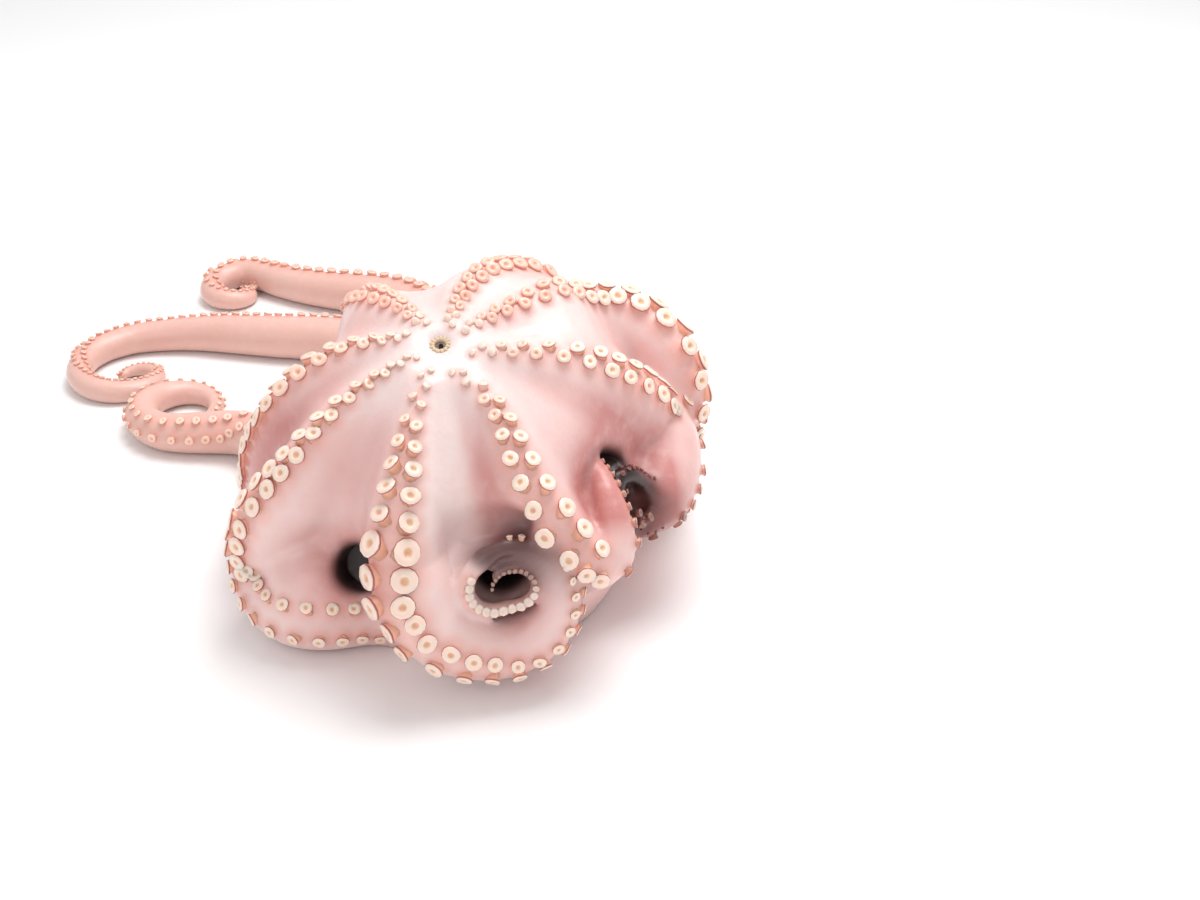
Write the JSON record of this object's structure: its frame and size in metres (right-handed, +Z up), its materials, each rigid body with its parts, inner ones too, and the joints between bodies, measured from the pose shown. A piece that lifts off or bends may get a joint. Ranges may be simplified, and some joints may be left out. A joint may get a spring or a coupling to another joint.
{
  "type": "whole octopus",
  "caption": "Whole raw octopus lying mouth up, its arms draped down as ridges with suckers and curled at their ends, the mantle behind.",
  "frame": {"origin": "on the table, in the middle of the flat spot under the crown of arms", "axes": "+Z up, away from the table; -Y towards the front, the way the mouth tips; +X to the right seen from the front; the mantle lies towards +Y"},
  "size_m": [0.4148, 0.5194, 0.1763],
  "materials": {
    "flesh": "wet, glossy and slightly translucent",
    "suckers": "wet, satin",
    "beak": "horn, satin"
  },
  "bodies": {
    "root": {"octopus": "flesh"}
  },
  "joints": []
}
